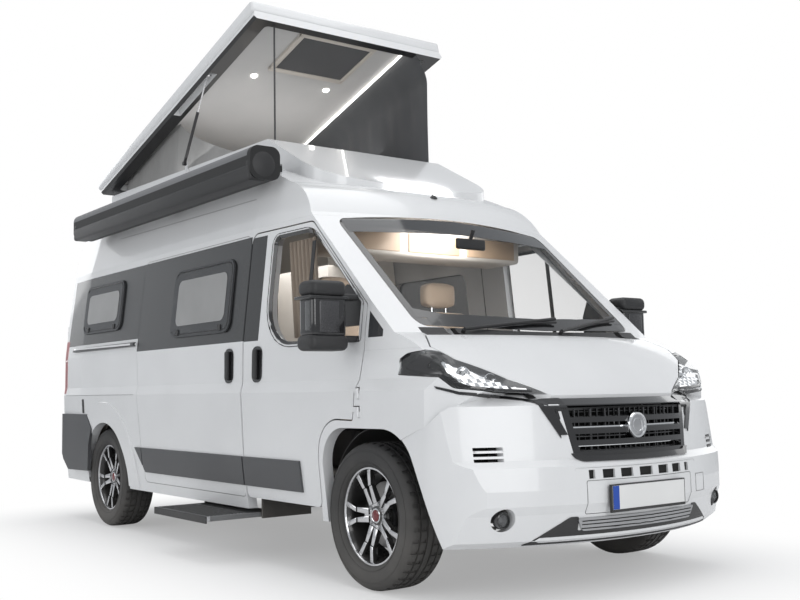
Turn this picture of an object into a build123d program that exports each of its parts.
from build123d import *
from math import atan2, cos, hypot, radians, sin, tan
import os

os.makedirs("parts", exist_ok=True)

# Camper van on a front-wheel-drive panel van, in millimetres.
# +X is forward, +Y is the left side, +Z is up and z = 0 is the road.
# Places along the van are given as dx, measured forward from the front axle.

# Driving dimensions of the base van
FRONT_OVERHANG = 948
WHEELBASE = 3450
REAR_OVERHANG = 1015
MIRROR_SPAN = 2508
LENGTH = FRONT_OVERHANG + WHEELBASE + REAR_OVERHANG
FRONT_AXLE = LENGTH / 2 - FRONT_OVERHANG
BUMPER_BACK_DX = FRONT_OVERHANG - LENGTH
BUMPER_STEP = 70
BACK_DX = BUMPER_BACK_DX + BUMPER_STEP

# Body shell
SILL_Z = 305
FLOOR_Z = 540
FLOOR_THICK = 50
GUTTER_Z = 1975
ROOF_Z = 2505
WALL = 60
SKIN = 26
GAP = 8
SEAM = 3
SEAT_GAP = 0.3
B_PILLAR_DX = -1245
WAIST_Z = 1190

# Wheels and axles
TYRE_R = 365
TYRE_W = 245
RIM_R = 242
RIM_W = 190
RIM_CLEAR = 0.3
HUB_Y = 870
HUB_R = 78
SPINDLE_R = 32
SPINDLE_CLEAR = 0.05
SPINDLE_OUT = 52
KINGPIN_Y = 800
KNUCKLE_R = 40
KNUCKLE_Z = (290, 500)
STRUT_TOWER_Y = 690
HOUSE_R = 440
REAR_HOUSE_R = 425
HOUSE_INNER_Y = 545
REAR_HOUSE_INNER_Y = 620
HOUSE_OUTER_Y = 905
REAR_ARCH_R = 412
LINER = 6

# Front wheel arch opening seen from the side (dx, z), and its corner radii
FRONT_ARCH_LINE = [(-375, 150), (-390, 798), (300, 800), (625, 150)]
FRONT_ARCH_RADII = [0, 190, 260, 0]

# Pop-up roof, drawn level about its hinge and then tilted up
ROOF_PITCH = 15.33
ROOF_NOSE_DOWN = 1.0
POP_HINGE_DX = -4160
POP_HINGE_Z = 2600
POP_RIM_ABOVE = 66
POP_REAR = 20
POP_LENGTH = 2762
POP_HALF_W = 780
POP_DEPTH = 100
POP_RIM_W = 115
POP_FRONT_RIM_W = 60
POP_RECESS = 55
PLINTH_GAP = 12
PLINTH_HALF_W = 700
PLINTH_WALL = 60
PLINTH_FRONT_DX = -1470
PLINTH_REAR_DX = -4120
FAIRING_DX = -780
FAIRING_BOW = 2200
FAIRING_CORNER = 240
TENT_Y = 645
TENT_THICK = 6


def shifted(points):
    """Points with dx turned into x."""
    return [(x + FRONT_AXLE, z) for x, z in points]


def outline(points, radius=0, grow=0):
    """A closed flat outline, with its corners rounded and then grown by a distance."""
    face = make_face(Polyline(*points, close=True))
    if isinstance(radius, (list, tuple)):
        for (px, py), r in zip(points, radius):
            if r:
                near = min(face.vertices(), key=lambda v: hypot(v.X - px, v.Y - py))
                face = fillet(near, r)
    elif radius:
        face = fillet(face.vertices(), radius)
    if grow:
        face = offset(face, grow, kind=Kind.INTERSECTION)
    return face


def side_prism(points, y_low, y_high, radius=0, grow=0):
    """Side-view outline (dx, z) carried across from y_low to y_high."""
    plane = Plane(origin=(0, y_high, 0), x_dir=(1, 0, 0), z_dir=(0, -1, 0))
    return extrude(plane * outline(shifted(points), radius, grow), y_high - y_low)


def plan_prism(points, z_low, z_high, radius=0, grow=0):
    """Plan outline (dx, y) carried up from z_low to z_high."""
    return extrude(Plane.XY.offset(z_low) * outline(shifted(points), radius, grow), z_high - z_low)


def front_prism(points, dx_low, dx_high, radius=0, grow=0):
    """Front-view outline (y, z) carried along the van from dx_low to dx_high."""
    plane = Plane(origin=(dx_low + FRONT_AXLE, 0, 0), x_dir=(0, 1, 0), z_dir=(1, 0, 0))
    return extrude(plane * outline(points, radius, grow), dx_high - dx_low)


def block(dx_low, dx_high, y_low, y_high, z_low, z_high, radius=0, along=Axis.Z):
    """A box by its corners, its edges along one axis rounded."""
    size = (dx_high - dx_low, y_high - y_low, z_high - z_low)
    middle = ((dx_low + dx_high) / 2 + FRONT_AXLE, (y_low + y_high) / 2, (z_low + z_high) / 2)
    made = Pos(*middle) * Box(*size)
    if radius:
        made = fillet(made.edges().filter_by(along), radius)
    return made


def rod(start, end, radius):
    """A round bar between two points (dx, y, z)."""
    a = Vector(start[0] + FRONT_AXLE, start[1], start[2])
    b = Vector(end[0] + FRONT_AXLE, end[1], end[2])
    bar = Cylinder(radius, (b - a).length, align=(Align.CENTER, Align.CENTER, Align.MIN))
    return Plane(origin=a, z_dir=b - a) * bar


def cross_rod(dx, z, y_low, y_high, radius):
    """A round bar across the van."""
    return rod((dx, y_low, z), (dx, y_high, z), radius)


def mirrored(shape):
    """The same shape on the other side of the van."""
    return mirror(shape, about=Plane.XZ)


def both(shape):
    """A shape and its mirror image, as separate solids."""
    return Compound(list(shape.solids()) + list(mirrored(shape).solids()))


def group(*shapes):
    """Several solids of one node."""
    return Compound([solid for shape in shapes for solid in shape.solids()])


# Half widths of the body at each station, below the roof edge
# dx, sill, lower panel, crease, over the crease, belt, gutter, roof edge
STATIONS = [
    (BACK_DX, 950, 985, 1008, 994, 992, 905, 800),
    (BACK_DX + 445, 968, 1003, 1025, 1011, 1009, 930, 822),
    (B_PILLAR_DX, 972, 1005, 1025, 1011, 1006, 930, 822),
    (0, 968, 995, 1004, 975, 952, 868, 770),
    (1050, 960, 975, 960, 915, 850, 700, 600),
]
LEVELS = (SILL_Z, 600, 985, 1045, 1290, GUTTER_Z, 2375)
ROOF_SHOULDER = (205, 22, 48)


def body_section(row, inset):
    """One cross-section of the body, narrowed by the wall."""
    dx, *widths = row
    side = [(w - inset, z) for w, z in zip(widths, LEVELS)]
    side[0] = (side[0][0], SILL_Z - 5 if inset else SILL_Z)
    crown = ROOF_Z - inset
    edge = (side[-1][0], side[-1][1] - inset)
    side[-1] = edge
    across, below_crown, bulge = ROOF_SHOULDER
    shoulder = (edge[0] - across, crown - below_crown)
    knee = (edge[0] - bulge, edge[1] + 0.66 * (shoulder[1] - edge[1]))
    other = [(-y, z) for y, z in reversed(side)]
    lines = [
        Polyline(*side),
        ThreePointArc(edge, knee, shoulder),
        ThreePointArc(shoulder, (0, crown), (-shoulder[0], shoulder[1])),
        ThreePointArc((-shoulder[0], shoulder[1]), (-knee[0], knee[1]), other[0]),
        Polyline(*other),
        Line(other[-1], side[0]),
    ]
    plane = Plane(origin=(dx + FRONT_AXLE, 0, 0), x_dir=(0, 1, 0), z_dir=(1, 0, 0))
    return plane * make_face(Curve() + lines)


def side_envelope(inset):
    """The body's sides and roof, through the stations."""
    return loft([body_section(row, inset) for row in STATIONS], ruled=True)


# Centre line of the nose: bonnet lip, bonnet, foot and head of the windscreen, brow and roof
NOSE_AXIS_DX = -3400
LIP = (778, 950)
BONNET_MID = (590, 1128)
SCREEN_FOOT = (305, 1272)
SCREEN_HEAD = (-505, 2000)
BROW_MID = (-610, 2125)
BROW = (-790, 2222)
ROOF_MID = (-1260, 2400)
ROOF_START = (-1950, 2530)


def screen_point(y, z, proud=0):
    """A point (dx, y, z) on the windscreen, or in front of it."""
    slope = (SCREEN_FOOT[0] - SCREEN_HEAD[0]) / (SCREEN_HEAD[1] - SCREEN_FOOT[1])
    centre = SCREEN_FOOT[0] - (z - SCREEN_FOOT[1]) * slope
    radius = centre - NOSE_AXIS_DX
    lean = atan2(slope, 1)
    along = (radius ** 2 - y ** 2) ** 0.5
    out = proud * cos(lean)
    return (NOSE_AXIS_DX + along + out * along / radius, y + out * y / radius, z + proud * sin(lean))


def nose_drum(inset):
    """The nose turned about a far upright axis, so that bonnet and screen bow across the van."""
    x0 = NOSE_AXIS_DX
    back, down = 0.7 * inset, 0.7 * inset
    lip, mid, foot, head, brow_mid, brow, roof_mid, roof = [
        (x - back, z - down)
        for x, z in (LIP, BONNET_MID, SCREEN_FOOT, SCREEN_HEAD, BROW_MID, BROW, ROOF_MID, ROOF_START)
    ]
    lines = [
        Polyline((x0, roof[1] + 60), (x0, 100), (lip[0], 100), lip),
        ThreePointArc(lip, mid, foot),
        Line(foot, head),
        ThreePointArc(head, brow_mid, brow),
        ThreePointArc(brow, roof_mid, roof),
        Line(roof, (x0, roof[1] + 60)),
    ]
    face = Pos(FRONT_AXLE, 0, 0) * (Plane.XZ * make_face(Curve() + lines))
    axis = Axis((FRONT_AXLE + NOSE_AXIS_DX, 0, 0), (0, 0, 1))
    return revolve(face.rotate(axis, -90), axis, revolution_arc=180)


def rounded_plan(front_dx, bow_r, half_w, corner_r, z_low, z_high, back_dx, back_r=0):
    """A plan shape with a bowed front, rounded corners and straight sides."""
    drop = bow_r - (bow_r ** 2 - half_w ** 2) ** 0.5
    corner = front_dx - drop
    lines = [
        ThreePointArc((corner, -half_w), (front_dx, 0), (corner, half_w)),
        Polyline((corner, half_w), (back_dx, half_w), (back_dx, -half_w), (corner, -half_w)),
    ]
    face = make_face(Curve() + lines)
    face = fillet([v for v in face.vertices() if v.X > back_dx + 1], corner_r)
    if back_r:
        face = fillet([v for v in face.vertices() if v.X < back_dx + 1], back_r)
    return extrude(Plane.XY.offset(z_low) * (Pos(FRONT_AXLE, 0, 0) * face), z_high - z_low)


HULL_HALF_W = 1030
HULL_BOW = 2300
HULL_CORNER = 430


REAR_HALF_W = 1012
REAR_CORNER = 80


def rear_plan(proud, z_low, z_high):
    """Plan of the body with its rounded rear corners, grown by a distance."""
    w, r = REAR_HALF_W + proud, REAR_CORNER + proud
    points = [(BACK_DX, -w), (BACK_DX, w), (NOSE_AXIS_DX, w + 90), (1200, w + 90), (1200, -w - 90), (NOSE_AXIS_DX, -w - 90)]
    return plan_prism(points, z_low, z_high, [r, r, 0, 0, 0, 0])


def body_hull(inset):
    """The whole body above the bumpers as a solid, set in by the wall."""
    behind = block(BACK_DX - 10, NOSE_AXIS_DX, -1200, 1200, 0, 3000)
    front = nose_drum(inset) + behind
    plan = rounded_plan(LIP[0] + 30 - inset, HULL_BOW, HULL_HALF_W - inset, HULL_CORNER, 0, 3000, BACK_DX - 10)
    hull = side_envelope(inset) & front & plan
    return hull if inset else hull & rear_plan(0, 0, 3000)


# Front end below the lamps, turned about a nearer axis: profile on the centre line (dx, z)
FACE_AXIS_DX = -800
FACE_PROFILE = [
    (870, 262), (905, 290), (930, 410), (948, 450), (948, 520), (938, 625),
    (906, 655), (873, 905), (785, 958), (690, 995),
]
FACE_HALF_W = 985
FACE_CORNER = 330
FACE_WALL = 40
FACE_BACK_DX = 330


def face_drum(inset):
    """The bumper and grille face as a solid."""
    x0 = FACE_BACK_DX - 150
    points = [(x0, 262 - inset), *[(x - inset, z) for x, z in FACE_PROFILE], (x0, 995)]
    face = Pos(FRONT_AXLE, 0, 0) * (Plane.XZ * make_face(Polyline(*points, close=True)))
    axis = Axis((FRONT_AXLE + FACE_AXIS_DX, 0, 0), (0, 0, 1))
    drum = revolve(face.rotate(axis, -45), axis, revolution_arc=90)
    bow = FRONT_OVERHANG - FACE_AXIS_DX
    plan = rounded_plan(FRONT_OVERHANG + 2 - inset, bow, FACE_HALF_W - inset, FACE_CORNER, 0, 1100, x0 - 10)
    return drum & plan


HULL = body_hull(0)
HULL_SKIN = body_hull(SKIN)
HULL_WALL = body_hull(WALL)
FACE = face_drum(0)
FACE_INNER = face_drum(FACE_WALL)

# Outlines seen from the side (dx, z)
DOOR_LOW_Z = 375
CAB_DOOR = [
    (B_PILLAR_DX + GAP, DOOR_LOW_Z), (B_PILLAR_DX + GAP, 1935), (-610, 1935), (-45, 1425),
    (-45, WAIST_Z), (-100, 842), (-427, 850), (-430, DOOR_LOW_Z),
]
CAB_DOOR_R = [34, 60, 60, 20, 20, 12, 190, 40]
CAB_WINDOW = [(-1000, 1250), (-1000, 1900), (-600, 1900), (-95, 1442), (-95, 1250)]
CAB_WINDOW_R = [260, 60, 70, 12, 12]
QUARTER_LIGHT = [(-15, 1255), (-15, 1392), (100, 1290), (100, 1255)]
SLIDING_DOOR = [
    (-2735, DOOR_LOW_Z), (-2845, 1345), (-2845, 1935), (B_PILLAR_DX - GAP, 1935), (B_PILLAR_DX - GAP, DOOR_LOW_Z),
]
SLIDING_DOOR_R = [40, 30, 60, 60, 40]
SLIDING_WINDOW = (-2275, -1425, 1360, 1815)
REAR_WINDOW = (-3955, -3185, 1470, 1850)
WINDOW_R = 70

# Windscreen seen from the front (y, z)
SCREEN_HALF_W = 785
SCREEN_LOW = (1308, 1284)
SCREEN_HIGH = (1955, 2000)


def screen_prism(grow):
    """The windscreen's outline carried through the shell."""
    w, low, high = SCREEN_HALF_W, SCREEN_LOW, SCREEN_HIGH
    lines = [
        ThreePointArc((-w, low[0]), (0, low[1]), (w, low[0])),
        Line((w, low[0]), (w, high[0])),
        ThreePointArc((w, high[0]), (0, high[1]), (-w, high[0])),
        Line((-w, high[0]), (-w, low[0])),
    ]
    face = fillet(make_face(Curve() + lines).vertices(), 60)
    if grow:
        face = offset(face, grow)
    plane = Plane(origin=(FRONT_AXLE - 720, 0, 0), x_dir=(0, 1, 0), z_dir=(1, 0, 0))
    return extrude(plane * face, 1200)


# Head lamp seen from the front (y, z)
LAMP = [(430, 955), (600, 1103), (800, 1160), (935, 1176), (965, 1071), (900, 993), (720, 970)]
LAMP_R = [10, 60, 60, 20, 30, 40, 60]
LAMP_DEPTH = 90


def lamp_prism(grow):
    """The head lamp's outline carried along the van."""
    return front_prism(LAMP, 240, 830, LAMP_R, grow)


# Bonnet seen from above
BONNET_REAR = (335, 800, 262)
BONNET_LOW_Z = 935


def bonnet_prism(grow):
    """The bonnet's plan outline, its rear edge an arc along the foot of the screen."""
    middle, half_w, corner = BONNET_REAR
    w, c = half_w + grow, corner - grow
    m = middle - grow
    lines = [
        ThreePointArc((c, -w), (m, 0), (c, w)),
        Polyline((c, w), (390, 872 + grow), (505, 815 + grow), (655, 625 + grow), (752, 438 + grow), (900, 420 + grow)),
        Line((900, 420 + grow), (900, -420 - grow)),
        Polyline((900, -420 - grow), (752, -438 - grow), (655, -625 - grow), (505, -815 - grow), (390, -872 - grow), (c, -w)),
    ]
    face = Pos(FRONT_AXLE, 0, 0) * make_face(Curve() + lines)
    return extrude(Plane.XY.offset(BONNET_LOW_Z - grow) * face, 500)


def wheel_house(dx, radius, inner_y):
    """Both wheel houses as bars across the van."""
    bar = cross_rod(dx, TYRE_R, inner_y, 1300, radius)
    return group(bar, mirrored(bar))


FRONT_ARCH = side_prism(FRONT_ARCH_LINE, -1300, 1300, FRONT_ARCH_RADII)
REAR_ARCH = cross_rod(-WHEELBASE, TYRE_R, -1300, 1300, REAR_ARCH_R)
FRONT_HOUSE = wheel_house(0, HOUSE_R, HOUSE_INNER_Y)
REAR_HOUSE = wheel_house(-WHEELBASE, REAR_HOUSE_R, REAR_HOUSE_INNER_Y)

# Line between wing and bumper seen from the side (dx, z)
BUMPER_LINE = [(1000, 200), (1000, 992), (690, 992), (655, 965), (555, 870), (490, 822), (250, 735), (250, 200)]


def panel(region, inner=HULL_WALL):
    """The part of the shell that lies in a region."""
    return (HULL & region) - inner


def cab_door_prism(grow):
    """The left cab door's outline carried through the side."""
    return side_prism(CAB_DOOR, 500, 1100, CAB_DOOR_R, grow)


def window_prism(window, grow, y_low=700, y_high=1100):
    """A side window's outline carried through the side."""
    dx_low, dx_high, z_low, z_high = window
    points = [(dx_low, z_low), (dx_low, z_high), (dx_high, z_high), (dx_high, z_low)]
    return side_prism(points, y_low, y_high, WINDOW_R, grow)


# Shell pieces
def side_wall(left):
    """A side panel from the cab door's rear pillar to the rear corner."""
    y_low, y_high = (0, 1200) if left else (-1200, 0)
    wall = panel(block(BACK_DX - 5, B_PILLAR_DX, y_low, y_high, SILL_Z, GUTTER_Z)) - REAR_ARCH
    wall -= TAIL_LAMP_CUT
    for window in (SLIDING_WINDOW, REAR_WINDOW):
        cut = window_prism(window, 0)
        wall -= cut if left else mirrored(cut)
    flare = rear_flare()
    wall += flare if left else mirrored(flare)
    if left:
        return wall + rear_hinge(False)
    wall -= mirrored(side_prism(SLIDING_DOOR, 700, 1100, SLIDING_DOOR_R, SEAM))
    return wall + mirrored(rear_hinge(False))


REAR_FLARE = (610, 540)
REAR_FLARE_PROUD = 8


def rear_flare():
    """The raised band round the left rear wheel arch, with its sloped outer edge."""
    wide, narrow = REAR_FLARE
    cone = Cone(wide, narrow, 100, align=(Align.CENTER, Align.CENTER, Align.MIN))
    cone = Pos(FRONT_AXLE - WHEELBASE, 965, TYRE_R) * (Rot(-90, 0, 0) * cone)
    band = side_envelope(-REAR_FLARE_PROUD) & cone & block(REAR_CAP_FRONT_DX, -2800, 0, 1200, SILL_Z + 20, 985)
    return band - HULL_WALL - REAR_ARCH - side_prism(REAR_CAP, 0, 1200, REAR_CAP_R, SEAM)


def rail_groove():
    """The sliding door's rail below the rear window."""
    return block(-4130, -2875, -1060, -990, 1335, 1362)


REAR_DOOR_DEPTH = 85
REAR_DOOR_LOW_Z = FLOOR_Z - 10
TAIL_LAMP = (BACK_DX - 5, BACK_DX + REAR_DOOR_DEPTH, 1000, 1430)
TAIL_LAMP_CUT = both(block(TAIL_LAMP[0], TAIL_LAMP[1], 870, 1100, TAIL_LAMP[2], TAIL_LAMP[3]))


def tail_lamps():
    """Upright lamps in the rear corners."""
    one = block(TAIL_LAMP[0], TAIL_LAMP[1] - SEAT_GAP, 870, 1100, TAIL_LAMP[2] + SEAT_GAP, TAIL_LAMP[3] - SEAT_GAP)
    return panel(both(one))


def roof_cap():
    """The high roof above the gutter seam, with the opening under the pop-up roof."""
    roof = panel(block(BACK_DX - 5, 400, -1100, 1100, GUTTER_Z + SEAT_GAP, 2700))
    roof -= screen_prism(0)
    roof -= block(*ROOF_OPENING, 2300, 2700, 60)
    return roof


ROOF_OPENING = (-3700, -1750, -480, 480)


def plinth_line(dx):
    """Height of the plinth's top, just under the lowered roof's rim."""
    rim = POP_HINGE_Z + POP_RIM_ABOVE - PLINTH_GAP
    return rim - (dx - POP_HINGE_DX) * tan(radians(ROOF_NOSE_DOWN))


def roof_plinth():
    """The raised frame that carries the pop-up roof, with its wedge-shaped fairing in front."""
    rear = PLINTH_REAR_DX
    profile = [
        (rear, 2380), (rear, plinth_line(rear)), (PLINTH_FRONT_DX, plinth_line(PLINTH_FRONT_DX)),
        (FAIRING_DX, 2240), (FAIRING_DX, 2200),
    ]
    solid = side_prism(profile, -PLINTH_HALF_W, PLINTH_HALF_W)
    solid &= rounded_plan(FAIRING_DX, FAIRING_BOW, PLINTH_HALF_W, FAIRING_CORNER, 2000, 2800, rear)
    inner = block(rear + 120, PLINTH_FRONT_DX - PLINTH_WALL, PLINTH_WALL - PLINTH_HALF_W,
                  PLINTH_HALF_W - PLINTH_WALL, 2300, 2800, 60)
    brackets = [
        cross_rod(POP_HINGE_DX, POP_HINGE_Z, y - 14, y + 14, POP_HINGE_R)
        + block(POP_HINGE_DX, rear + 5, y - 14, y + 14, POP_HINGE_Z - 12, POP_HINGE_Z + 10)
        for y in POP_HINGE_BRACKETS_Y
    ]
    foot = block(STRUT_LOW[0] - 20, STRUT_LOW[0] + 20, PLINTH_HALF_W - 10, STRUT_Y - 12 - SEAT_GAP, 2585, 2622)
    foot += block(STRUT_LOW[0] - 16, STRUT_LOW[0] + 16, STRUT_Y - 20, STRUT_Y - 12 - SEAT_GAP, 2585, 2672)
    return solid - inner - HULL + brackets + list(both(foot).solids())


POP_HINGE_R = 16
POP_HINGE_BRACKETS_Y = (-520, 520)


def front_body():
    """Screen pillars, header, scuttle and bulkhead of the cab."""
    region = block(B_PILLAR_DX + SEAT_GAP, 400, -1200, 1200, WAIST_Z, GUTTER_Z)
    shell = panel(region) - screen_prism(0) - bonnet_prism(GAP)
    shell -= both(cab_door_prism(GAP))
    shell -= both(side_prism(QUARTER_LIGHT, 700, 1100))
    shell -= COWL_ROOM
    bulkhead = block(BULKHEAD_DX - 20, BULKHEAD_DX, -700, 700, FLOOR_Z + SEAT_GAP, 1240)
    tray = (block(BULKHEAD_DX - 20, 330, -800, 800, 1212, 1240) & HULL_SKIN) - bonnet_prism(GAP)
    made = shell + bulkhead + tray - FRONT_HOUSE - bonnet_hinge_room()
    return max(made.solids(), key=lambda s: s.volume)


BULKHEAD_DX = 150
COWL_ROOM = block(180, 400, -792, 792, 1180, 1300) - HULL_SKIN


def cowl_panel():
    """The black panel at the foot of the windscreen."""
    made = (HULL & block(180, 400, -790, 790, 1200, 1299)) - HULL_SKIN
    made = made - screen_prism(0) - bonnet_prism(GAP) - bonnet_hinge_room()
    return group(*[s for s in made.solids() if s.volume > 1000])


BONNET_HINGE = (195, 1250)
BONNET_HINGE_Y = (590, 650)
BONNET_HINGE_R = 8


def bonnet_hinge_room():
    """Slots in the cowl for the bonnet's hinge arms."""
    dx, z = BONNET_HINGE
    return both(block(dx - 24, 360, *BONNET_HINGE_Y, 1205, 1302))


def bonnet_hinges():
    """Hinge arms under the bonnet's rear edge, and the latch's striker."""
    dx, z = BONNET_HINGE
    low, high = BONNET_HINGE_Y
    barrel = cross_rod(dx, z, low + SEAT_GAP, high - SEAT_GAP, BONNET_HINGE_R)
    middle = (low + high) / 2
    arm = block(dx, 352, middle - 8, middle + 8, z - 20, z)
    striker = block(LATCH_DX - 8, LATCH_DX + 8, -15, 15, LATCH_Z + SEAT_GAP, LATCH_Z + 110)
    return both(barrel + arm), striker


LATCH_DX = 670
LATCH_Z = 930


def front_wings():
    """Wings between the cab doors, the bonnet and the bumper."""
    region = block(-430, 830, 0, 1200, SILL_Z, WAIST_Z - SEAT_GAP)
    wing = panel(region) - cab_door_prism(GAP) - lamp_prism(SEAM) - bonnet_prism(GAP)
    wing = wing - side_prism(BUMPER_LINE, 0, 1200) - FRONT_ARCH
    wing = max(wing.solids(), key=lambda s: s.volume)
    return both(wing - door_hinge_room() - door_leaf_room() + door_hinge_leaf(False))


DOOR_HINGE_DX = -41
DOOR_HINGE_Y = 1006
DOOR_HINGE_R = 7
DOOR_HINGES_Z = ((856, 906), (950, 1000))
DOOR_LEAF_DX = -118


def door_hinge_leaf(on_door):
    """The hinge knuckles of the left cab door, or those of its pillar."""
    made = []
    for low, high in DOOR_HINGES_Z:
        middle = (low + high) / 2
        z_low, z_high = (middle + SEAT_GAP, high) if on_door else (low, middle)
        reach = (DOOR_LEAF_DX, DOOR_HINGE_DX) if on_door else (DOOR_HINGE_DX, DOOR_HINGE_DX + 30)
        leaf = block(*reach, DOOR_HINGE_Y - 58, DOOR_HINGE_Y - 3, z_low, z_high)
        barrel = rod((DOOR_HINGE_DX, DOOR_HINGE_Y, z_low), (DOOR_HINGE_DX, DOOR_HINGE_Y, z_high), DOOR_HINGE_R)
        made.append(leaf + barrel)
    return group(*made)


def door_hinge_room():
    """Room for the knuckles in the edges of door and wing."""
    made = []
    for low, high in DOOR_HINGES_Z:
        made.append(rod((DOOR_HINGE_DX, DOOR_HINGE_Y, low - 6), (DOOR_HINGE_DX, DOOR_HINGE_Y, high + 6),
                        DOOR_HINGE_R + 5))
    return group(*made)


def door_leaf_room():
    """Room in the wing for the door's hinge leaves."""
    made = []
    for low, high in DOOR_HINGES_Z:
        made.append(block(DOOR_LEAF_DX - 10, DOOR_HINGE_DX + 3, DOOR_HINGE_Y - 66, DOOR_HINGE_Y + 20,
                          (low + high) / 2, high + 6))
    return group(*made)


def head_lamps():
    """Large lamps between bonnet, wing and bumper."""
    lamp = (HULL & lamp_prism(0)) - bonnet_prism(GAP)
    lamp -= Pos(-LAMP_DEPTH, 0, -LAMP_DEPTH / 2) * HULL
    lamp = max(lamp.solids(), key=lambda s: s.volume)
    return both(lamp)


# Grille seen from the front (y, z)
GRILLE_LOW = (398, 648)
GRILLE_HIGH = (452, 938)
GRILLE = [(-GRILLE_LOW[0], GRILLE_LOW[1]), GRILLE_LOW, GRILLE_HIGH, (-GRILLE_HIGH[0], GRILLE_HIGH[1])]
GRILLE_BARS = 4
GRILLE_BAR_H = 26


def grille_prism(grow):
    """The grille's outline carried along the van."""
    return front_prism(GRILLE, 600, 1000, 30, grow)


def grille():
    """The framed grille with its bars."""
    frame = ((FACE & grille_prism(-SEAM)) - FACE_INNER) - HULL
    opening = front_prism(GRILLE, 500, 1000, 30, -38)
    pitch = (GRILLE_HIGH[1] - GRILLE_LOW[1] - 76) / GRILLE_BARS
    bars = [
        block(500, 1000, -500, 500, GRILLE_LOW[1] + 38 + (i + 1) * pitch - GRILLE_BAR_H,
              GRILLE_LOW[1] + 38 + (i + 1) * pitch)
        for i in range(GRILLE_BARS - 1)
    ]
    return frame - (opening - bars)


FOG_Y = 760
FOG_Z = 392
FOG_R = 52
INTAKE_Z = (562, 603)
# Middle and width of each slot on the left; the first is shared
INTAKE_SLOTS = [(0, 92), (131, 78), (244, 72), (341, 34)]
VENT_SLOTS = 3


def front_bumper():
    """The body-coloured front panel with its intakes and lamp recesses."""
    solid = (FACE + (HULL & block(240, 1000, -1100, 1100, 250, 992))) & side_prism(BUMPER_LINE, -1200, 1200)
    shell = solid - (FACE_INNER + (HULL_WALL & block(100, 1000, -1100, 1100, 100, 1400)))
    shell = shell - FRONT_ARCH - grille_prism(0) - bonnet_prism(GAP) - both(lamp_prism(SEAM))
    for y, width in INTAKE_SLOTS:
        shell -= both(block(600, 1000, y - width / 2, y + width / 2, *INTAKE_Z))
    for i in range(VENT_SLOTS):
        z = 652 + 26 * i
        shell -= both(block(500, 900, 735, 860, z, z + 15))
    shell -= both(rod((500, FOG_Y, FOG_Z), (900, FOG_Y, FOG_Z), FOG_R))
    return max(shell.solids(), key=lambda s: s.volume)


def sliding_door():
    """The sliding door, closed in the right side."""
    door = panel(mirrored(side_prism(SLIDING_DOOR, 700, 1100, SLIDING_DOOR_R, 0)))
    return door - mirrored(window_prism(SLIDING_WINDOW, 0))


CAB_GLASS_T = 6


def cab_door(left):
    """A cab door with its window opening."""
    door = panel(cab_door_prism(0)) - side_prism(CAB_WINDOW, 500, 1100, CAB_WINDOW_R)
    door = door - door_hinge_room() + door_hinge_leaf(True)
    return door if left else mirrored(door)


def cab_glass(left):
    """The pane of a cab door."""
    pane = HULL & side_prism(CAB_WINDOW, 500, 1100, CAB_WINDOW_R, -SEAT_GAP)
    pane = (pane & (Pos(0, -18, 0) * HULL)) - (Pos(0, -18 - CAB_GLASS_T, 0) * HULL)
    pane = max(pane.solids(), key=lambda s: s.volume)
    return pane if left else mirrored(pane)


MIRROR_DX = (-225, -70)
MIRROR_Z = (1200, 1535)
MIRROR_Y = 1062


def mirror_head(left):
    """A two-part door mirror on its arms."""
    head = block(*MIRROR_DX, MIRROR_Y, MIRROR_SPAN / 2, *MIRROR_Z, 45)
    arms = [block(-190, -120, 945, MIRROR_Y + 20, z, z + 45) for z in (1215, 1300)]
    made = head + arms - Pos(0, SEAT_GAP, 0) * HULL
    made = max(made.solids(), key=lambda s: s.volume)
    return made if left else mirrored(made)


def rear_door(left):
    """A rear door with its window opening."""
    region = block(BACK_DX, BACK_DX + REAR_DOOR_DEPTH, GAP / 2, 1100, REAR_DOOR_LOW_Z, 2600)
    door = REAR_DOOR_HULL & region
    door -= rear_window_prism(0)
    door += rear_hinge(True)
    return door if left else mirrored(door)


REAR_HINGE_DX = BACK_DX - 14
REAR_HINGE_Y = 950
REAR_HINGE_R = 9
REAR_HINGES_Z = (620, 880, 1480)


def rear_hinge(on_door):
    """The hinge straps of the left rear door, or those of its corner."""
    made = []
    for low in REAR_HINGES_Z:
        z_low, z_high = (low + 40 + SEAT_GAP, low + 80) if on_door else (low, low + 40)
        y_low, y_high = (REAR_HINGE_Y - 150, REAR_HINGE_Y) if on_door else (REAR_HINGE_Y, REAR_HINGE_Y + 14)
        strap = block(BACK_DX - 8, BACK_DX if on_door else BACK_DX + 30, y_low, y_high, z_low, z_high)
        plate = block(REAR_HINGE_DX, BACK_DX - 4, REAR_HINGE_Y - 5, REAR_HINGE_Y + 5, z_low, z_high)
        barrel = rod((REAR_HINGE_DX, REAR_HINGE_Y, z_low), (REAR_HINGE_DX, REAR_HINGE_Y, z_high), REAR_HINGE_R)
        made.append(strap + barrel + plate)
    return group(*made)


REAR_GLASS = [(130, 1290), (130, 1830), (760, 1830), (800, 1290)]


def rear_window_prism(grow):
    """The rear door's window outline carried through the door."""
    return front_prism(REAR_GLASS, BACK_DX - 50, BACK_DX + 200, 60, grow)


def rear_glass(left):
    """The pane of a rear door."""
    pane = rear_window_prism(-SEAT_GAP) & block(BACK_DX + 8, BACK_DX + 8 + CAB_GLASS_T, 0, 1100, 1000, 2000)
    return pane if left else mirrored(pane)


REAR_DOOR_HULL = body_hull(WALL + GAP)


def bonnet():
    """The bonnet skin."""
    skin = max((panel(bonnet_prism(0), HULL_SKIN)).solids(), key=lambda s: s.volume)
    arms, striker = bonnet_hinges()
    return skin + arms + striker


def windscreen():
    """The bowed windscreen in its opening."""
    outer = Pos(-3, 0, -3) * HULL
    inner = Pos(-9, 0, -9) * HULL
    pane = (outer & screen_prism(-SEAT_GAP)) - inner
    return max(pane.solids(), key=lambda s: s.volume)


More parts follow.
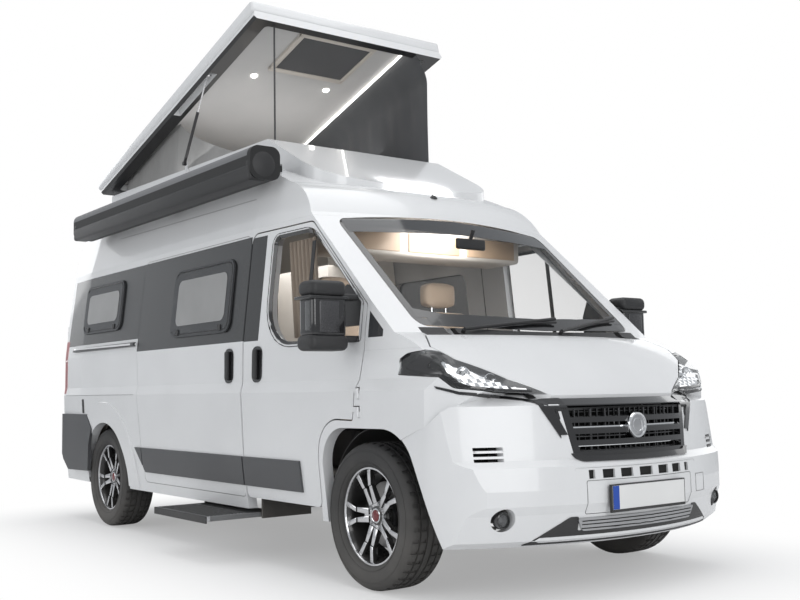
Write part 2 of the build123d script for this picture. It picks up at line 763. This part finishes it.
def wipers():
    """Two wiper arms with their blades."""
    made = []
    # pivot y, tip y, tip z
    for pivot_y, tip_y, tip_z in ((-560, 120, 1345), (90, 690, 1372)):
        pivot = screen_point(pivot_y, 1274, 22)
        foot = screen_point(pivot_y, 1274, -4)
        tip = screen_point(tip_y, tip_z, 22)
        arm = rod(pivot, tip, 9)
        middle = tuple((a + b) / 2 for a, b in zip(pivot, tip))
        blade = rod(middle, screen_point(tip_y, tip_z - 12, 12), 6)
        made.append(arm + blade + rod(foot, pivot, 11) - Pos(SEAT_GAP, 0, SEAT_GAP) * HULL)
    return group(*made)


def side_windows():
    """Framed windows that stand proud of the sides, with the cab's quarter lights."""
    ring = side_envelope(-14) - side_envelope(24)
    made = []
    for window in (SLIDING_WINDOW, REAR_WINDOW):
        pane = ring & window_prism(window, -SEAT_GAP)
        made += [pane, mirrored(pane)]
    quarter = (HULL & side_prism(QUARTER_LIGHT, 700, 1100, 0, -SEAT_GAP)) - HULL_SKIN
    quarter = max(quarter.solids(), key=lambda s: s.volume)
    return group(*made, quarter, mirrored(quarter))


# Outlines of the strips from the cab door to the rear arch (dx, z)
MOULDINGS = [
    [(-1237, 443), (-1237, 612), (-610, 612), (-600, 443)],
    [(-2703, 443), (-2735, 477), (-2735, 612), (-1253, 612), (-1253, 443)],
    [(-2745, 488), (-2858, 612), (-2745, 612)],
]


def side_mouldings():
    """Dark protective strips low on the sides, with the rail of the sliding door."""
    ring = side_envelope(-12) - side_envelope(-SEAT_GAP)
    made = []
    for points in MOULDINGS:
        strip = ring & side_prism(points, 0, 1200)
        made += [strip, mirrored(strip)]
    made.append((side_envelope(-22) - side_envelope(-SEAT_GAP)) & rail_groove())
    return group(*made)


AWNING = (-3950, -1000, 2232, 2432)
AWNING_BRACKETS_DX = (-3700, -2475, -1250)


def awning_case():
    """The awning's case along the roof edge."""
    dx_low, dx_high, z_low, z_high = AWNING
    body = block(dx_low, dx_high, -1085, -885, z_low, z_high)
    body = fillet(body.edges().filter_by(Axis.X), 55)
    brackets = [block(dx - 60, dx + 60, -900, -760, z_low + 40, z_high - 50) for dx in AWNING_BRACKETS_DX]
    return body + brackets - Pos(0, -SEAT_GAP, 0) * HULL


def floor_pan():
    """Floor, chassis rails, cross members and the front frame with its spring towers."""
    floor = block(BACK_DX + REAR_DOOR_DEPTH + 5, BULKHEAD_DX, -1100, 1100, FLOOR_Z - FLOOR_THICK, FLOOR_Z)
    floor = (floor & HULL_WALL) - FRONT_HOUSE - REAR_HOUSE
    made = floor
    for dx in (-4180, -2060, -1130, -560):
        made += block(dx - 40, dx + 40, -800, 800, 420, FLOOR_Z - FLOOR_THICK)
    rails = both(block(BACK_DX, 720, 380, 460, RAIL_Z, FLOOR_Z - FLOOR_THICK))
    hangers = [block(dx - 30, dx + 30, 460, SPRING_Y[1] + 10, SPRING_END_Z + SEAT_GAP, FLOOR_Z - FLOOR_THICK)
               for dx in SPRING_ENDS_DX]
    beam = block(690, 750, -560, 560, RAIL_Z, 500)
    mounts = block(400, 460, 330 + SEAT_GAP, 400, 470, 560)
    latch = block(LATCH_DX - 20, LATCH_DX + 20, -520, 520, LATCH_Z - 30, LATCH_Z)
    latch += both(block(LATCH_DX - 20, LATCH_DX + 20, 480, 520, RAIL_Z, LATCH_Z))
    latch += both(block(LATCH_DX - 20, 750, 440, 540, RAIL_Z, RAIL_Z + 60))
    made = made + rails + beam + latch + both(mounts) + [h for one in hangers for h in (one, mirrored(one))]
    made -= both(rod((TOW_DX, TOW_Y, RAIL_Z - 10), (TOW_DX, TOW_Y, RAIL_Z + TOW_BORE_DEPTH), TOW_BORE_R))
    return made


RAIL_Z = 400
TOW_DX = BACK_DX + 110
TOW_Y = 420
TOW_BORE_DEPTH = 60
TOW_BORE_R = 8.5
SPRING_Y = (490, 555)
SPRING_END_Z = 410
SPRING_ENDS_DX = (-WHEELBASE - 640, -WHEELBASE + 560)


def arch_liners():
    """Thin liners inside the four wheel arches."""
    made = []
    # dx, radius, inner y
    for dx, radius, inner_y in ((0, HOUSE_R, HOUSE_INNER_Y), (-WHEELBASE, REAR_HOUSE_R, REAR_HOUSE_INNER_Y)):
        drum = cross_rod(dx, TYRE_R, inner_y + SEAT_GAP, HOUSE_OUTER_Y, radius - SEAT_GAP)
        drum -= cross_rod(dx, TYRE_R, inner_y + LINER, HOUSE_OUTER_Y + 10, radius - LINER)
        drum &= block(dx - 600, dx + 600, 0, 1000, 420, 1000)
        made.append(both(drum & HULL_WALL))
    return group(*made)


def engine_block():
    """Engine and gearbox as one plain mass."""
    return block(230, 640, -330, 330, 500, 930)


def front_suspension():
    """Subframe, lower arms and spring struts."""
    low, high = KNUCKLE_Z
    frame = block(-200, 260, -380, 380, 300, 372)
    frame += both(block(-60, 60, 340, 420, 340, RAIL_Z - SEAT_GAP))
    arm = plan_prism([(-170, 340), (-30, KINGPIN_Y), (30, KINGPIN_Y), (230, 340)], 262, low - 12, [0, 28, 28, 0])
    arm += block(-120, 160, 340, 376, 262, 305)
    arm += rod((0, KINGPIN_Y, 255), (0, KINGPIN_Y, low), 26)
    frame += both(arm)
    bracket = block(-24, 24, STRUT_TOWER_Y - 20, KINGPIN_Y + 20, high + SEAT_GAP, high + 26)
    top = TYRE_R + HOUSE_R - LINER - 2 * SEAT_GAP - 1
    strut = rod((0, STRUT_TOWER_Y, high + SEAT_GAP), (0, STRUT_TOWER_Y, top), 27)
    return group(frame, both(bracket + strut))


def knuckle(left):
    """Steering knuckle with the wheel's spindle."""
    low, high = KNUCKLE_Z
    post = rod((0, KINGPIN_Y, low + SEAT_GAP), (0, KINGPIN_Y, high), KNUCKLE_R)
    spindle = cross_rod(0, TYRE_R, KINGPIN_Y, HUB_Y + SPINDLE_OUT, SPINDLE_R)
    made = post + spindle
    return made if left else mirrored(made)


def rear_axle():
    """Beam axle on two leaf springs."""
    dx = -WHEELBASE
    beam = cross_rod(dx, TYRE_R, -(HUB_Y + SPINDLE_OUT), HUB_Y + SPINDLE_OUT, SPINDLE_R)
    beam += cross_rod(dx, TYRE_R, -720, 720, 34)
    rear, front = SPRING_ENDS_DX
    end, thick = SPRING_END_Z, 14
    lines = [
        ThreePointArc((rear - 30, end), (dx, 345), (front + 30, end)),
        Line((front + 30, end), (front + 30, end - thick)),
        ThreePointArc((front + 30, end - thick), (dx, 345 - thick), (rear - 30, end - thick)),
        Line((rear - 30, end - thick), (rear - 30, end)),
    ]
    plane = Plane(origin=(FRONT_AXLE, SPRING_Y[1], 0), x_dir=(1, 0, 0), z_dir=(0, -1, 0))
    spring = extrude(plane * make_face(Curve() + lines), SPRING_Y[1] - SPRING_Y[0])
    return beam + both(spring)


def underfloor_units():
    """Water tank, exhaust and the step's housing under the floor."""
    tank = block(-2700, -2150, 480, 860, 320, FLOOR_Z - FLOOR_THICK - SEAT_GAP, 30)
    silencer = block(-1900, -1350, 480, 780, 330, FLOOR_Z - FLOOR_THICK - SEAT_GAP, 40)
    rails = [
        block(low, low + 17, -895, -560, STEP_Z[0] - 8, FLOOR_Z - FLOOR_THICK - SEAT_GAP)
        for low in (STEP_DX[0] - SEAT_GAP - 17, STEP_DX[1] + SEAT_GAP)
    ]
    return group(tank, silencer, *rails)


STEP_Z = (252, 280)


STEP_DX = (-1970, -1230)
STEP_TRAVEL = 250


def entry_step():
    """The pull-out step, shown out."""
    return block(*STEP_DX, -1250, -800, *STEP_Z, 20)


# Corner cap seen from the side (dx, z)
REAR_CAP_FRONT_DX = -3792
REAR_CAP = [
    (BACK_DX + 25, 837), (REAR_CAP_FRONT_DX, 837), (-3690, 724), (-3741, 600), (-3752, 400), (-4190, 393),
    (BACK_DX + 90, 470), (BACK_DX + 25, 560),
]
REAR_CAP_R = [0, 30, 12, 60, 0, 0, 0, 0]
REAR_CAP_PROUD = 16
TYRE_ROOM = 8


def rear_bumper():
    """Rear bumper with its step and corner caps."""
    step = block(BUMPER_BACK_DX, BACK_DX - SEAT_GAP, -930, 930, 400, REAR_DOOR_LOW_Z - 20)
    cap = side_prism(REAR_CAP, 880, REAR_HALF_W + REAR_CAP_PROUD, REAR_CAP_R) & rear_plan(REAR_CAP_PROUD, 300, 900)
    cap -= Pos(0, SEAT_GAP, 0) * HULL
    cap -= cross_rod(-WHEELBASE, TYRE_R, 700, HUB_Y + TYRE_W / 2 + TYRE_ROOM, TYRE_R + 20)
    return group(step, both(max(cap.solids(), key=lambda s: s.volume)))


def tilted(shape, angle=ROOF_PITCH):
    """A shape drawn with the pop-up roof level, turned up about its hinge."""
    axis = Axis((POP_HINGE_DX + FRONT_AXLE, 0, POP_HINGE_Z), (0, -1, 0))
    return shape.rotate(axis, angle)


def pop_roof():
    """The pop-up roof's shell with its hinge barrel."""
    low = POP_HINGE_Z + POP_RIM_ABOVE
    rear = POP_HINGE_DX + POP_REAR
    front = rear + POP_LENGTH
    w = POP_HALF_W
    lines = [
        Polyline((-w + 18, low), (w - 18, low), (w, low + 18), (w - 12, low + POP_DEPTH - 45)),
        ThreePointArc((w - 12, low + POP_DEPTH - 45), (w - 40, low + POP_DEPTH - 15), (w - 95, low + POP_DEPTH)),
        ThreePointArc((w - 95, low + POP_DEPTH), (0, low + POP_DEPTH + 22), (-w + 95, low + POP_DEPTH)),
        ThreePointArc((-w + 95, low + POP_DEPTH), (-w + 40, low + POP_DEPTH - 15), (-w + 12, low + POP_DEPTH - 45)),
        Polyline((-w + 12, low + POP_DEPTH - 45), (-w, low + 18), (-w + 18, low)),
    ]
    plane = Plane(origin=(rear + FRONT_AXLE, 0, 0), x_dir=(0, 1, 0), z_dir=(1, 0, 0))
    shell = extrude(plane * make_face(Curve() + lines), POP_LENGTH)
    nose = side_prism([(rear, low), (front, low), (front - 8, low + 60), (front - 90, low + POP_DEPTH + 30),
                       (rear + 90, low + POP_DEPTH + 30), (rear + 8, low + 60)], -w - 10, w + 10)
    shell &= nose
    shell -= block(rear + POP_RIM_W, front - POP_FRONT_RIM_W, POP_RIM_W - w, w - POP_RIM_W,
                   low - 10, low + POP_RECESS, 30)
    shell -= SKYLIGHT_CUT
    pocket = block(STRUT_LOW[0] - 60, STRUT_HIGH[0] + STRUT_DRIFT + 25, STRUT_Y - 27, STRUT_Y + 27, low - 10, low + 60)
    shell -= both(pocket)
    pins = [cross_rod(*STRUT_HIGH, STRUT_Y + y - 7, STRUT_Y + y + 7, 6) for y in (-20.5, 20.5)]
    shell += [pin for one in pins for pin in (one, mirrored(one))]
    for side_y in POP_HINGE_BRACKETS_Y:
        y_low, y_high = side_y + 14 + SEAT_GAP, side_y + 54
        shell += cross_rod(POP_HINGE_DX, POP_HINGE_Z, y_low, y_high, POP_HINGE_R)
        shell += block(POP_HINGE_DX - 14, rear + 12, y_low, y_high, POP_HINGE_Z, low + 30)
    return tilted(shell)


SKYLIGHT = (-2350, -1850, -330, 330)
SKYLIGHT_CUT = block(*SKYLIGHT, POP_HINGE_Z, POP_HINGE_Z + 400, 50)


def roof_skylight():
    """The skylight in the pop-up roof."""
    dx_low, dx_high, y_low, y_high = SKYLIGHT
    top = POP_HINGE_Z + POP_RIM_ABOVE + POP_DEPTH
    pane = block(dx_low + SEAT_GAP, dx_high - SEAT_GAP, y_low + SEAT_GAP, y_high - SEAT_GAP,
                 top - 40, top + 30, 50)
    return tilted(pane)


def rim_line(dx, above=0):
    """Height of the raised roof's rim, or of a level above it."""
    slope = radians(ROOF_PITCH)
    base = POP_HINGE_Z + (POP_RIM_ABOVE + above) / cos(slope)
    return base + (dx - POP_HINGE_DX) * tan(slope)


def tent_wall(points, side):
    """A flat cloth wall between the plinth and the raised roof."""
    y = side * TENT_Y
    return side_prism(points, y - TENT_THICK / 2, y + TENT_THICK / 2)


TENT_FRONT_DX = -1500
TENT_TOP_DX = -1580
TENT_BACK_DX = -3990


def tent_left():
    """The far cloth wall, closed."""
    top = POP_RECESS - SEAT_GAP
    return tent_wall([
        (TENT_BACK_DX, plinth_line(TENT_BACK_DX) + SEAT_GAP), (TENT_FRONT_DX, plinth_line(TENT_FRONT_DX) + SEAT_GAP),
        (TENT_TOP_DX, rim_line(TENT_TOP_DX, top)), (TENT_BACK_DX, rim_line(TENT_BACK_DX, top)),
    ], 1)


def tent_right():
    """The near cloth wall, let down from the front to the middle."""
    top = POP_RECESS - SEAT_GAP
    return tent_wall([
        (TENT_BACK_DX, plinth_line(TENT_BACK_DX) + SEAT_GAP), (-1940, plinth_line(-1940) + SEAT_GAP),
        (-1950, 2650), (-2250, 2710), (-2560, 2850), (-2880, rim_line(-2880, top)),
        (TENT_BACK_DX, rim_line(TENT_BACK_DX, top)),
    ], -1)


STRUT_Y = 728
STRUT_LOW = (-2650, 2660)
STRUT_HIGH = (-2172, 2706)
STRUT_CYL_R = 11
STRUT_ROD_R = 5
STRUT_DRIFT = 62


def strut_ends():
    """The strut's lower pin and its upper pin with the roof raised."""
    dx, z = STRUT_HIGH[0] - POP_HINGE_DX, STRUT_HIGH[1] - POP_HINGE_Z
    a = radians(ROOF_PITCH)
    return STRUT_LOW, (POP_HINGE_DX + dx * cos(a) - z * sin(a), POP_HINGE_Z + dx * sin(a) + z * cos(a))


def along_strut():
    """The strut's lower end, its length and its direction."""
    low, high = strut_ends()
    length = hypot(high[0] - low[0], high[1] - low[1])
    unit = ((high[0] - low[0]) / length, (high[1] - low[1]) / length)
    return low, length, unit


def strut_cylinders():
    """Gas strut bodies with their lower eyes."""
    (dx, z), _, unit = along_strut()
    end = (dx + unit[0] * STRUT_BODY, z + unit[1] * STRUT_BODY)
    body = rod((dx, STRUT_Y, z), (end[0], STRUT_Y, end[1]), STRUT_CYL_R)
    body += cross_rod(dx, z, STRUT_Y - 12, STRUT_Y + 12, 14)
    bore = rod((dx + unit[0] * 40, STRUT_Y, z + unit[1] * 40), (end[0] + unit[0], STRUT_Y, end[1] + unit[1]),
               STRUT_ROD_R + 0.05)
    return both(body - bore)


STRUT_BODY = 400
STRUT_ROD_IN = 120


def strut_rods():
    """Gas strut rods, out with the roof raised."""
    (dx, z), length, unit = along_strut()
    start = STRUT_BODY - STRUT_ROD_IN
    a = (dx + unit[0] * start, z + unit[1] * start)
    end = (dx + unit[0] * length, z + unit[1] * length)
    made = rod((a[0], STRUT_Y, a[1]), (end[0], STRUT_Y, end[1]), STRUT_ROD_R)
    made += cross_rod(end[0], end[1], STRUT_Y - 12, STRUT_Y + 12, 13)
    return both(made)


def dashboard():
    """Dashboard across the cab, with the steering column."""
    rear = BULKHEAD_DX - 20 - SEAT_GAP
    profile = [(rear, 1190), (60, 1208), (-250, 1205), (-330, 1130), (-300, 980), (-180, 880), (rear, 860)]
    made = side_prism(profile, -830, 830, 30) & DASH_HULL
    column = rod((-200, STEER_Y, 981), COLUMN_END, 32)
    return made + column


STEER_Y = 400
WHEEL_CENTRE = (-455, STEER_Y, 1105)
COLUMN_TILT = 26
HUB_HALF = 22
STEER_R = 185
GRIP_R = 15
COLUMN_END = (
    WHEEL_CENTRE[0] + (HUB_HALF + SEAT_GAP) * cos(radians(COLUMN_TILT)), STEER_Y,
    WHEEL_CENTRE[2] - (HUB_HALF + SEAT_GAP) * sin(radians(COLUMN_TILT)),
)
DASH_HULL = body_hull(WALL + 20)


def steering_wheel():
    """Steering wheel with three spokes."""
    grip = [(STEER_R + GRIP_R * cos(radians(a)), GRIP_R * sin(radians(a))) for a in range(0, 360, 60)]
    ring = revolve(Plane.XZ * make_face(Polyline(*grip, close=True)), Axis.Z)
    hub = Cylinder(48, 2 * HUB_HALF)
    spokes = [Rot(0, 0, angle) * (Pos(95, 0, 0) * Box(180, 32, 14)) for angle in (0, 180, 270)]
    made = ring + hub + spokes
    place = Plane(origin=(WHEEL_CENTRE[0] + FRONT_AXLE, WHEEL_CENTRE[1], WHEEL_CENTRE[2]),
                  z_dir=(-cos(radians(COLUMN_TILT)), 0, sin(radians(COLUMN_TILT))), x_dir=(0, 1, 0))
    return place * made


def cab_seat(y):
    """A cab seat on its base."""
    base = block(-1080, -640, y - 210, y + 210, FLOOR_Z + SEAT_GAP, 800)
    cushion = side_prism([(-1120, 800), (-600, 820), (-580, 930), (-1080, 900)], y - 255, y + 255, 30)
    back = side_prism([(-1120, 770), (-940, 820), (-1130, 1470), (-1225, 1470)], y - 250, y + 250, 35)
    head = side_prism([(-1240, 1500), (-1140, 1500), (-1150, 1660), (-1230, 1660)], y - 130, y + 130, 25)
    neck = block(-1200, -1170, y - 60, y + 60, 1440, 1520)
    return base + cushion + back + head + neck


def furniture():
    """Kitchen, wardrobe, bench, table and bed base of the living space."""
    kitchen = block(-2650, -1960, -880, -400, FLOOR_Z + SEAT_GAP, 1340)
    wash_room = block(-3000, -2250, 250, 880, FLOOR_Z + SEAT_GAP, 2250) & HULL_TRIM
    bench = block(-2200, -1760, 150, 880, FLOOR_Z + SEAT_GAP, 900)
    bed = block(-4280, -3060, -880, 880, FLOOR_Z + SEAT_GAP, 1050) & HULL_TRIM
    bed -= block(-4400, -3050, -420, 420, 500, 1010)
    bed -= REAR_HOUSE_ROOM
    table = block(-1700, -1290, 300, 860, 1180, 1210, 40) + block(-1500, -1450, 500, 550, FLOOR_Z + SEAT_GAP, 1185)
    return group(kitchen, wash_room, bench, bed, table)


HULL_TRIM = body_hull(WALL + 12)
REAR_HOUSE_ROOM = wheel_house(-WHEELBASE, REAR_HOUSE_R + 12, REAR_HOUSE_INNER_Y - 12)


def cushions():
    """Bench cushions and the rear bed's mattress."""
    seat = block(-2195, -1740, 160, 870, 900 + SEAT_GAP, 990, 30)
    mattress = block(-4270, -3070, -860, 860, 1050 + SEAT_GAP, 1180, 40) & HULL_TRIM
    return group(seat, mattress)


# Tyre and rim
def tyre(dx, y):
    """A road tyre on its rim."""
    w, r, bead = TYRE_W / 2, TYRE_R, RIM_R + RIM_CLEAR
    # radius, distance outwards from the tyre's middle
    half = [(bead, w - 22), ((bead + r) / 2 - 5, w), (r - 22, w - 14), (r, w - 40)]
    other = [(radius, -out) for radius, out in reversed(half)]
    ring = revolve(Plane.XZ * make_face(Polyline(*half, *other, close=True)), Axis.Z)
    return Pos(dx + FRONT_AXLE, y, TYRE_R) * (Rot(-90, 0, 0) * ring)


SPOKES = 5


def rim(dx, side):
    """A five-spoke light alloy wheel."""
    w = RIM_W / 2
    # radius, distance outwards from the wheel's middle
    barrel = [
        (RIM_R, -w), (RIM_R, w), (RIM_R - 12, w), (RIM_R - 16, w - 14), (RIM_R - 30, w - 26),
        (RIM_R - 34, w - 60), (RIM_R - 14, -w + 20), (RIM_R - 12, -w),
    ]
    ring = revolve(Plane.XZ * make_face(Polyline(*barrel, close=True)), Axis.Z)
    hub = Pos(0, 0, w - 52) * Cylinder(HUB_R, 50)
    cap = Pos(0, 0, w - 32) * Cylinder(SPINDLE_R + 6, 12)
    arm = Pos((HUB_R + RIM_R) / 2 - 14, 0, w - 42) * Box(RIM_R - HUB_R + 12, 24, 30)
    arms = [
        Rot(0, 0, i * 360 / SPOKES + lean) * (Pos(0, lean * 0.6, 0) * arm)
        for i in range(SPOKES) for lean in (-9, 9)
    ]
    made = ring + hub + arms
    bore_end = SPINDLE_OUT + 1
    made -= Pos(0, 0, bore_end - 100) * Cylinder(SPINDLE_R + SPINDLE_CLEAR, 200)
    made += cap
    turn = -90 if side > 0 else 90
    return Pos(dx + FRONT_AXLE, side * HUB_Y, TYRE_R) * (Rot(turn, 0, 0) * made)


WHEELS = {
    "front_left": (0, 1),
    "front_right": (0, -1),
    "rear_left": (-WHEELBASE, 1),
    "rear_right": (-WHEELBASE, -1),
}

NODES = {
    "floor_pan": floor_pan(),
    "arch_liners": arch_liners(),
    "cowl_panel": cowl_panel(),
    "side_left": side_wall(True),
    "side_right": side_wall(False),
    "roof_cap": roof_cap(),
    "roof_plinth": roof_plinth(),
    "front_body": front_body(),
    "front_wings": front_wings(),
    "front_bumper": front_bumper(),
    "grille": grille(),
    "head_lamps": head_lamps(),
    "windscreen": windscreen(),
    "wipers": wipers(),
    "dashboard": dashboard(),
    "cab_seats": group(cab_seat(430), cab_seat(-430)),
    "furniture": furniture(),
    "cushions": cushions(),
    "engine_block": engine_block(),
    "front_suspension": front_suspension(),
    "rear_axle": rear_axle(),
    "underfloor_units": underfloor_units(),
    "rear_bumper": rear_bumper(),
    "tail_lamps": tail_lamps(),
    "sliding_door": sliding_door(),
    "side_windows": side_windows(),
    "side_mouldings": side_mouldings(),
    "awning_case": awning_case(),
    "tent_left": tent_left(),
    "tent_right": tent_right(),
    "bonnet": bonnet(),
    "pop_roof": pop_roof(),
    "roof_skylight": roof_skylight(),
    "strut_cylinders": strut_cylinders(),
    "strut_rods": strut_rods(),
    "entry_step": entry_step(),
    "steering_wheel": steering_wheel(),
}
for name, left in (("left", True), ("right", False)):
    NODES["cab_door_" + name] = cab_door(left)
    NODES["cab_glass_" + name] = cab_glass(left)
    NODES["mirror_" + name] = mirror_head(left)
    NODES["rear_door_" + name] = rear_door(left)
    NODES["rear_glass_" + name] = rear_glass(left)
    NODES["knuckle_" + name] = knuckle(left)
for name, (dx, side) in WHEELS.items():
    NODES["tyre_" + name] = tyre(dx, side * HUB_Y)
    NODES["rim_" + name] = rim(dx, side)

for name, shape in NODES.items():
    export_step(shape, os.path.join("parts", name + ".step"))
